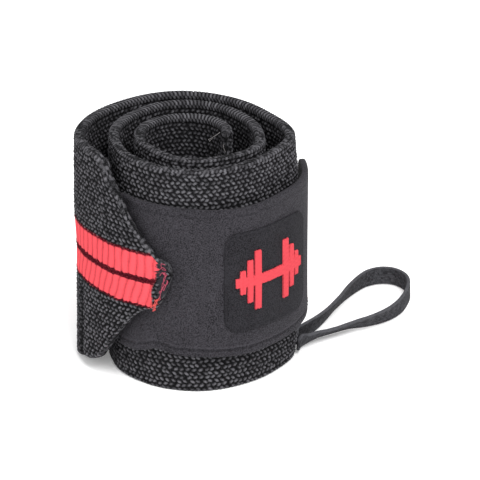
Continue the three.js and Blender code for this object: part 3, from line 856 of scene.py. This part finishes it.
def smooth_path(points, leans, count):
    """A centripetal curve through the points, evenly resampled, with the leans carried along it: between
    two points it is the cubic whose knots are spaced by the square root of the distances."""
    ends = np.concatenate([[2 * points[0] - points[1]], points, [2 * points[-1] - points[-2]]])
    knots = np.concatenate([[0], np.cumsum(np.linalg.norm(np.diff(ends, axis=0), axis=1) ** 0.5)])
    t = np.linspace(knots[1], knots[-2], 1200)
    i = np.clip(np.searchsorted(knots, t, side="right") - 1, 1, len(points) - 1)
    k = [knots[i + j][:, None] for j in (-1, 0, 1, 2)]
    p = [ends[i + j] for j in (-1, 0, 1, 2)]
    t = t[:, None]
    a = [((k[j + 1] - t) * p[j] + (t - k[j]) * p[j + 1]) / (k[j + 1] - k[j]) for j in range(3)]
    b = [((k[j + 2] - t) * a[j] + (t - k[j]) * a[j + 1]) / (k[j + 2] - k[j]) for j in range(2)]
    curve = ((k[2] - t) * b[0] + (t - k[1]) * b[1]) / (k[2] - k[1])
    length = np.concatenate([[0], np.cumsum(np.linalg.norm(np.diff(curve, axis=0), axis=1))])
    even = np.linspace(0, length[-1], count)
    path = np.stack([np.interp(even, length, curve[:, c]) for c in range(3)], 1)
    lean = np.interp(np.interp(even, length, t[:, 0]), knots[1:-1], leans)
    return path, lean, even


out_points, back_points = tucked_points(LOOP_OUT), tucked_points(LOOP_BACK)
loop_start = plan(lambda t: band_face(t) + LOOP_STAND, np.array([LOOP_TURN]))[0]
loop_points = np.concatenate([out_points, free_points(LOOP_FREE, loop_start), back_points])
loop_leans = np.concatenate([LOOP_OUT[:, 2], LOOP_FREE[:, 2], LOOP_BACK[:, 2]])
loop_path, loop_lean, loop_length = smooth_path(loop_points, loop_leans, 420)

# %% Make the thumb loop
TAPE_GRAIN = 0.75 * MM
TAPE_ROW = 0.6 * MM
TAPE_RISE = 0.1 * MM
TAPE_COLUMNS = 22
ROOT_PINCH = 0.34
ROOT_RUN = 2.2 * MM


def tape_push(length, height, depth, out, rise):
    """Small grains of a fine plain weave, with a lighter cord along both long edges."""
    row = np.floor(height / TAPE_ROW)
    grain = hump(length / TAPE_GRAIN + 0.5 * (row % 2), 2) * hump(height / TAPE_ROW, 2)
    size = per_cell(np.floor(length / TAPE_GRAIN), row + 30)
    # Apart from the edges, the crown share is a painted highlight on each grain and painted shade between
    # grains.
    return TAPE_RISE * (grain - 1), {"crown": 0.25 + 0.9 * grain * size + (np.abs(rise) > 0.2) * 0.5}


def ribbon(name, path, lean, length):
    """The flat tape carried along a path. Its wide side stands upright where the lean is 0 and tips to the
    right of the way it travels as the lean grows. A bell curve of the length draws it in at both ends."""
    ahead = np.gradient(path, axis=0)
    ahead /= np.linalg.norm(ahead, axis=1, keepdims=True)
    side = np.stack([ahead[:, 1], -ahead[:, 0], 0 * ahead[:, 0]], 1)
    side /= np.linalg.norm(side, axis=1, keepdims=True)
    upright = np.cross(side, ahead)
    tilt = np.radians(lean)[:, None]
    wide = upright * np.cos(tilt) + side * np.sin(tilt)
    out_way = side * np.cos(tilt) - upright * np.sin(tilt)
    shares = np.linspace(0, 1, TAPE_COLUMNS)
    half = LOOP_TAPE / 2 * (1 - ROOT_PINCH * bell(np.minimum(length, length[-1] - length), ROOT_RUN))
    depth, height, out, rise = section(shares, shares, 2, np.full(len(path), LOOP_THICKNESS), -half, half,
                                       LOOP_THICKNESS * 0.42)
    along = length[:, None] + 0 * depth
    pushed, values = tape_push(along, height, depth, out, rise)
    points = (path[:, None] + out_way[:, None] * (LOOP_THICKNESS / 2 - depth + pushed * out)[..., None]
              + wide[:, None] * (height + pushed * rise)[..., None]) + SHIFT
    return woven_mesh(name, points, along, height + depth, values)


thumb_loop = ribbon("thumb_loop_tape", loop_path, loop_lean, loop_length)

# %% [markdown]
# The point's flat tip is held by a bar tack: dense thread laid to and fro across the cut edge. Some of the
# band's red threads have come loose there, and a few pale ones hang at the raw end inside the roll.

# %% Make the bar tack
TACK_LENGTH = 5.2 * MM
TACK_HEIGHT = 13 * MM
TACK_PITCH = 0.5 * MM
TACK_RADIUS = 0.24 * MM
TACK_STRAY = 0.2 * MM
FOLD_MARGIN = 0.7 * MM


def stitch_point(along, share, above):
    """A point at a length of cloth before the tip, at a share of the height between the two folds there."""
    turn = np.interp(TIP_LENGTH - along, fine_length, fine_turns)
    low, high = along_table(LOWER_FOLD, turn) * BAND_WIDTH, along_table(UPPER_FOLD, turn) * BAND_WIDTH
    return on_face(band_face, turn, mix(low + FOLD_MARGIN, high - FOLD_MARGIN, share), above)


def bar_tack():
    """Start and end points of stitches that lean to and fro while they climb the tip's height."""
    share = np.arange(0, 1, TACK_PITCH / TACK_HEIGHT)
    stray = rng.normal(0, 1, (4, len(share)))
    starts = stitch_point(TACK_LENGTH + TACK_STRAY * stray[0], np.clip(share + 0.02 * stray[1], 0, 1), 0)
    ends = stitch_point(0.8 * MM + TACK_STRAY * np.abs(stray[2]),
                        np.clip(share + 0.04 + 0.02 * stray[3], 0, 1), 0.05 * MM)
    return starts, ends


tip_tack = mesh_object("tip_bar_tack", *beads(*bar_tack(), TACK_RADIUS, rings=7))

# %% Make the loose threads
FRAY_RADIUS = 0.13 * MM
CORE_FRAY_RADIUS = 0.09 * MM
BEAD_OVERLAP = 0.15
TIP_FRAYS = 17
STRIPE_FRAYS = 11


def thread_mesh(name, lines, radius):
    """Threads as chains of beads that overlap a little: lines has a row of points for each thread."""
    first, last = lines[:, :-1].reshape(-1, 3), lines[:, 1:].reshape(-1, 3)
    return mesh_object(name, *beads(first, last + (last - first) * BEAD_OVERLAP, radius, sides=5, rings=3))


def strands(name, count, along, share, step, seed, above, steps=12):
    """Thin loose threads on the tip: each starts at its own place and strays over the cloth by smooth
    random turns, given in metres along the cloth and in shares of the tip's height."""
    draw = np.random.default_rng(seed)
    s = np.linspace(0, 1, steps)[None]
    a = draw.uniform(*along, (count, 1)) + draw.uniform(*step, (count, 1)) * s
    a = a + draw.normal(0, 0.7 * MM, (count, 1)) * np.sin(s * 4.5) * s
    h = draw.uniform(*share, (count, 1)) + draw.normal(0, 0.12, (count, 1)) * s
    h = h + 0.04 * np.sin(s * 7 + a / MM)
    flat = stitch_point(a.ravel(), np.clip(h, -0.05, 1.05).ravel(), above)
    return thread_mesh(name, flat.reshape(count, steps, 3), FRAY_RADIUS)


def inner_threads(name, rows, seed, steps=14):
    """A few threads that hang at the raw end inside the roll: each runs from its start to its end, given in
    millimetres from the roll's axis, and bends by smooth turns on the way."""
    draw = np.random.default_rng(seed)
    s = np.linspace(0, 1, steps)[None, :, None]
    start, end = rows[:, None, :3] * MM + SHIFT, rows[:, None, 3:] * MM + SHIFT
    line = mix(start, end, s) + draw.normal(0, 0.5 * MM, (len(rows), 1, 3)) * np.sin(s * math.pi)
    return thread_mesh(name, line, CORE_FRAY_RADIUS)


CORE_THREADS = np.array([
    (11.2, .2, 76.3, 7.4, -.6, 74), (8.9, -.2, 74.4, 7.7, -.9, 73.6), (12.3, -.5, 72.4, 12.9, -.6, 69.7)])
tip_frays = strands(
    "tip_frayed_threads", TIP_FRAYS, (0.3 * MM, 4.4 * MM), (0.02, 1), (-1.0 * MM, 1.4 * MM), 3, 0.4 * MM)
red_frays = strands(
    "stripe_frayed_threads", STRIPE_FRAYS, (5.0 * MM, 7.0 * MM), (-0.02, 0.16), (-2.2 * MM, 0.4 * MM), 11,
    0.3 * MM)
core_frays = inner_threads("core_frayed_threads", CORE_THREADS, 5)
print(f"loose threads: {TIP_FRAYS + STRIPE_FRAYS + len(CORE_THREADS)}")

# %% [markdown]
# Cloth needs three things from its material: a colour with a painted highlight on the threads' crowns and
# painted shade in the gaps between them, a fine thread relief that is too small for the mesh, and a soft
# dull sheen. The first two are one node group, used by every cloth here with its own values. It reads the
# piece's own UV map, in metres along and up the cloth, so the threads follow the roll.

# %% The shared cloth group
SPECK_SCALE = 3000.0
CLOUD_SCALE = 90.0
CLOUD_SHARE = 0.15
NOISE_MIDDLE = 0.575
THREAD_SHADE = 0.16
THREAD_HEIGHT = 0.5
SPECK_HEIGHT = 0.8


def new_group(name, inputs, outputs):
    """An empty shader node group with its named sockets."""
    group = bpy.data.node_groups.new(name, "ShaderNodeTree")
    for title, kind, value in inputs:
        socket = group.interface.new_socket(title, in_out="INPUT", socket_type=kind)
        socket.default_value = value
    for title, kind in outputs:
        group.interface.new_socket(title, in_out="OUTPUT", socket_type=kind)
    return group


def add(tree, kind, **settings):
    """A node with its settings; keys that are input names set those inputs."""
    node = tree.nodes.new(kind)
    for key, value in settings.items():
        if hasattr(node, key):
            setattr(node, key, value)
        else:
            node.inputs[key.replace("_", " ")].default_value = value
    return node


def calc(tree, operation, a, b=None, c=None):
    """A math node on sockets or numbers."""
    node = tree.nodes.new("ShaderNodeMath")
    node.operation = operation
    for slot, value in enumerate((a, b, c)):
        if value is None:
            continue
        if hasattr(value, "is_output"):
            tree.links.new(value, node.inputs[slot])
        else:
            node.inputs[slot].default_value = value
    return node.outputs[0]


def blend_colour(tree, share, a, b):
    """A colour between a and b by a share."""
    node = tree.nodes.new("ShaderNodeMix")
    node.data_type = "RGBA"
    for slot, value in (("Factor", share), ("A", a), ("B", b)):
        socket = next(s for s in node.inputs if s.name == slot and s.enabled)
        if hasattr(value, "is_output"):
            tree.links.new(value, socket)
        else:
            socket.default_value = value
    return next(s for s in node.outputs if s.enabled)


def cloth_group():
    """Inputs: crown and gap colours, thread size, speckle. Outputs: a colour, a fine height and the share
    of crown. The threads are two sines of the UV multiplied, and the speckle is noise in Object space."""
    g = new_group("cloth_threads", [
        ("Crown Colour", "NodeSocketColor", (0.1, 0.1, 0.1, 1)),
        ("Gap Colour", "NodeSocketColor", (0, 0, 0, 1)),
        ("Crown", "NodeSocketFloat", 1.0), ("Threads Along", "NodeSocketFloat", 2500.0),
        ("Threads Up", "NodeSocketFloat", 2500.0), ("Slant", "NodeSocketFloat", 0.0),
        ("Speckle", "NodeSocketFloat", 0.3), ("Base", "NodeSocketFloat", 0.0)],
        [("Colour", "NodeSocketColor"), ("Height", "NodeSocketFloat"), ("Crown Share", "NodeSocketFloat")])
    inp, out = g.nodes.new("NodeGroupInput"), g.nodes.new("NodeGroupOutput")
    uv = add(g, "ShaderNodeUVMap", uv_map="cloth")
    parts = g.nodes.new("ShaderNodeSeparateXYZ")
    g.links.new(uv.outputs[0], parts.inputs[0])
    slanted = calc(g, "MULTIPLY_ADD", parts.outputs[1], inp.outputs["Slant"], parts.outputs[0])
    wave_a = calc(g, "SINE", calc(g, "MULTIPLY", slanted, inp.outputs["Threads Along"]))
    wave_b = calc(g, "SINE", calc(g, "MULTIPLY", parts.outputs[1], inp.outputs["Threads Up"]))
    threads = calc(g, "MULTIPLY", wave_a, wave_b)
    object_place = g.nodes.new("ShaderNodeTexCoord")
    speck = add(g, "ShaderNodeTexNoise", Scale=SPECK_SCALE, Detail=1.0)
    cloud = add(g, "ShaderNodeTexNoise", Scale=CLOUD_SCALE, Detail=3.0)
    for noise in (speck, cloud):
        g.links.new(object_place.outputs["Object"], noise.inputs["Vector"])
    above_base = calc(g, "SUBTRACT", inp.outputs["Crown"], inp.outputs["Base"])
    lit = calc(g, "MULTIPLY_ADD", threads, THREAD_SHADE, above_base)
    noise_sum = calc(g, "ADD", speck.outputs["Fac"], calc(g, "MULTIPLY", cloud.outputs["Fac"], CLOUD_SHARE))
    centred = calc(g, "SUBTRACT", noise_sum, NOISE_MIDDLE)
    lit = calc(g, "MULTIPLY_ADD", centred, inp.outputs["Speckle"], lit)
    clamp = g.nodes.new("ShaderNodeClamp")
    g.links.new(lit, clamp.inputs[0])
    # From the gap colour, painted shade, to the crown colour, painted highlight.
    colour = blend_colour(g, clamp.outputs[0], inp.outputs["Gap Colour"], inp.outputs["Crown Colour"])
    speck_height = calc(g, "MULTIPLY", speck.outputs["Fac"], SPECK_HEIGHT)
    height = calc(g, "MULTIPLY_ADD", threads, THREAD_HEIGHT, speck_height)
    g.links.new(colour, out.inputs["Colour"])
    g.links.new(height, out.inputs["Height"])
    g.links.new(clamp.outputs[0], out.inputs["Crown Share"])
    return g


CLOTH = cloth_group()

# %% [markdown]
# Each cloth is one material with its own colours, thread sizes and speckle. The band's mixes in its red by
# the mesh's own attribute, so the stripes are as sharp as the weave.

# %% The cloths
CLOTH_ROUGHNESS = 0.85
SHEEN_ROUGHNESS = 0.4


def srgb(r, g, b):
    """A colour from the 0 to 255 values that a picture shows, as the linear light that a shader wants."""
    c = np.array([r, g, b]) / 255
    return tuple(np.where(c <= 0.04045, c / 12.92, ((c + 0.055) / 1.055) ** 2.4)) + (1.0,)


def set_inputs(node, **values):
    """Sets a node's inputs by name, with an underscore for each space."""
    for title, value in values.items():
        node.inputs[title.replace("_", " ")].default_value = value


def cloth_material(name, crown, gap, along, up, bump, slant=0.0, speckle=0.3, sheen=0.0, gloss=0.1, base=0.0,
                   red=None, uses_crown=True):
    """A cloth: the shared group coloured for this piece, its fine height as a bump, and a soft sheen."""
    mat = bpy.data.materials.new(name)
    mat.use_nodes = True
    tree = mat.node_tree
    shader = tree.nodes["Principled BSDF"]
    set_inputs(shader, Roughness=CLOTH_ROUGHNESS, Sheen_Weight=sheen, Sheen_Roughness=SHEEN_ROUGHNESS,
               Specular_IOR_Level=gloss)
    group = tree.nodes.new("ShaderNodeGroup")
    group.node_tree = CLOTH
    set_inputs(group, Crown_Colour=crown, Gap_Colour=gap, Threads_Along=2 * math.pi / along,
               Threads_Up=2 * math.pi / up, Slant=slant, Speckle=speckle, Base=base)
    if uses_crown:
        crown_value = add(tree, "ShaderNodeAttribute", attribute_name="crown")
        tree.links.new(crown_value.outputs["Fac"], group.inputs["Crown"])
    colour = group.outputs["Colour"]
    if red is not None:
        mask = add(tree, "ShaderNodeAttribute", attribute_name="red")
        red_cloth = blend_colour(tree, group.outputs["Crown Share"], red[1], red[0])
        colour = blend_colour(tree, mask.outputs["Fac"], colour, red_cloth)
    tree.links.new(colour, shader.inputs["Base Color"])
    bump_node = add(tree, "ShaderNodeBump", Strength=1.0, Distance=bump)
    tree.links.new(group.outputs["Height"], bump_node.inputs["Height"])
    tree.links.new(bump_node.outputs["Normal"], shader.inputs["Normal"])
    return mat


BAND_CLOTH = cloth_material(
    "black_elastic_weave", srgb(97, 96, 100), srgb(14, 14, 15), 0.5 * MM, 0.8 * MM, 0.1 * MM, slant=0.5,
    speckle=0.5, gloss=0.03, red=(srgb(236, 84, 92), srgb(60, 8, 20)))
STRAP_CLOTH = cloth_material(
    "black_brushed_strap", srgb(61, 59, 64), srgb(20, 19, 22), 0.42 * MM, 0.42 * MM, 0.1 * MM, speckle=3.6,
    sheen=0.03, base=0.4)
STITCH_THREAD = cloth_material(
    "black_sewing_thread", srgb(44, 43, 47), srgb(18, 18, 20), 0.4 * MM, 0.4 * MM, 0.03 * MM,
    uses_crown=False)
PATCH_CLOTH = cloth_material(
    "dark_patch_cloth", srgb(45, 44, 48), srgb(15, 14, 17), 0.5 * MM, 0.5 * MM, 0.06 * MM, speckle=3.6,
    sheen=0.02, base=0.4)
EMBLEM_THREAD = cloth_material(
    "coral_satin_thread", srgb(222, 78, 86), srgb(130, 22, 36), 0.4 * MM, 1.5 * MM, 0.05 * MM, speckle=0.25)
TAPE_CLOTH = cloth_material(
    "black_elastic_tape", srgb(76, 76, 80), srgb(14, 14, 16), 0.5 * MM, 0.5 * MM, 0.06 * MM, speckle=0.4)
FRAY_RED = cloth_material(
    "frayed_pink_thread", srgb(172, 78, 96), srgb(100, 30, 46), 0.3 * MM, 0.3 * MM, 0.02 * MM,
    uses_crown=False)
STRIPE_THREAD = cloth_material(
    "loose_red_thread", srgb(206, 84, 82), srgb(140, 34, 38), 0.3 * MM, 0.3 * MM, 0.02 * MM,
    uses_crown=False)
FRAY_PALE = cloth_material(
    "frayed_pale_thread", srgb(150, 146, 146), srgb(100, 95, 96), 0.3 * MM, 0.3 * MM, 0.02 * MM,
    uses_crown=False)
print("cloths:", ", ".join(sorted(mat.name for mat in bpy.data.materials)))

# %% [markdown]
# Each piece now gets its cloth and rides on the one body that the part has. The strap is a sheet of cloth
# laid round the roll, so its flat size is printed. The band and the loop's tape are webbing, modelled as
# they lie.

# %% Dress the pieces
DRESSED = (
    [(piece, BAND_CLOTH, "band_weave") for piece in BAND + FLAPS]
    + [(closure_strap, STRAP_CLOTH, "strap_fabric"), (hem_stitches, STITCH_THREAD, "strap_fabric"),
       (strap_patch, PATCH_CLOTH, "patch_fabric"), (patch_emblem, EMBLEM_THREAD, "emblem_red"),
       (thumb_loop, TAPE_CLOTH, "loop_tape"), (tip_tack, STITCH_THREAD, "band_weave"),
       (tip_frays, FRAY_RED, "band_weave"), (red_frays, STRIPE_THREAD, "band_weave"),
       (core_frays, FRAY_PALE, "band_weave")])
for piece, cloth, slot in DRESSED:
    piece.data.materials.append(cloth)
    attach(piece, "root")
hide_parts("elastic_band")
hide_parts("closure_strap")
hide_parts("strap_patch")
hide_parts("patch_emblem")
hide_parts("thumb_loop")
print(f"closure strap laid flat: {STRAP_WIDTH / MM:.1f} x {strap_lengths[-1] / MM:.1f} mm")

# %% [markdown]
# The photograph is a shop picture: white ground, wide soft light from above and in front, and a faint
# shadow where the roll meets the ground.

# %% Floor and lights
FLOOR_HALF = 6.0
floor = mesh_object("floor", np.array([(-1, -1, 0), (1, -1, 0), (1, 1, 0), (-1, 1, 0)]) * FLOOR_HALF,
                    np.array([[0, 1, 2, 3]]), smooth=False)
floor_paint = bpy.data.materials.new("pale_floor")
floor_paint.use_nodes = True
set_inputs(floor_paint.node_tree.nodes["Principled BSDF"], Base_Color=(0.93, 0.93, 0.93, 1), Roughness=0.9,
           Emission_Color=(1, 1, 1, 1), Emission_Strength=0.2)
floor.data.materials.append(floor_paint)

AIM = np.array([0, 0, 0.04])


def soft_light(name, place, size, power):
    """A square area light aimed at the middle of the roll."""
    data = bpy.data.lights.new(name, "AREA")
    data.size = size
    data.energy = power
    lamp = bpy.data.objects.new(name, data)
    lamp.location = place
    away = np.array(place) - AIM
    tilt, bearing = math.acos(away[2] / np.linalg.norm(away)), math.atan2(away[1], away[0])
    lamp.rotation_euler = (tilt, 0, bearing + math.pi / 2)
    bpy.context.scene.collection.objects.link(lamp)


soft_light("key_light", (0.25, -0.7, 1.0), 0.7, 16)
soft_light("fill_light", (-0.9, -0.5, 0.6), 0.8, 3)
soft_light("back_light", (0.1, 0.9, 0.8), 0.8, 3)
world = bpy.data.worlds.new("studio")
world.use_nodes = True
set_inputs(world.node_tree.nodes["Background"], Color=(1, 1, 1, 1), Strength=0.68)
bpy.context.scene.world = world
bpy.context.scene.view_settings.view_transform = "Standard"
